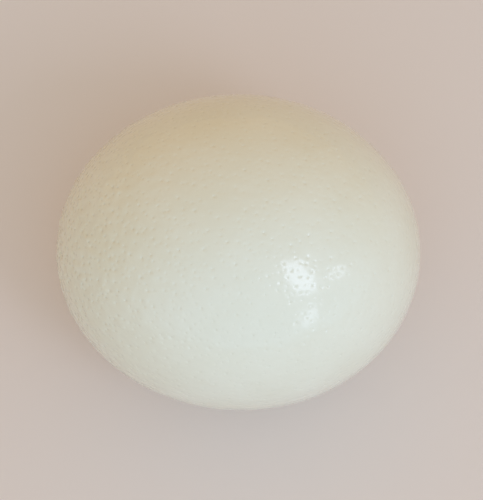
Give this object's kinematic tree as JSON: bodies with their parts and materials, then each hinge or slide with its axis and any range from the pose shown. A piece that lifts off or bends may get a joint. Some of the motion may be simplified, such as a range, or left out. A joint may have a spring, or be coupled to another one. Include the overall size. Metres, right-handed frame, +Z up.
{
  "type": "ostrich egg",
  "caption": "Whole ostrich egg lying on its side: a nearly ellipsoidal ivory shell with a soft gloss, blunter at one end and pitted all over by its pores.",
  "frame": {"origin": "under the middle of the egg's length, at the centre of the bottom of its bounding box, on the surface that it lies on", "axes": "+X along the egg's long axis towards the blunter end, +Y across, +Z up"},
  "size_m": [0.15, 0.1304, 0.1297],
  "materials": {
    "eggshell": "ivory eggshell with a soft gloss, broken up by small darker pores"
  },
  "bodies": {
    "root": {"ostrich_egg": "eggshell"}
  },
  "joints": []
}
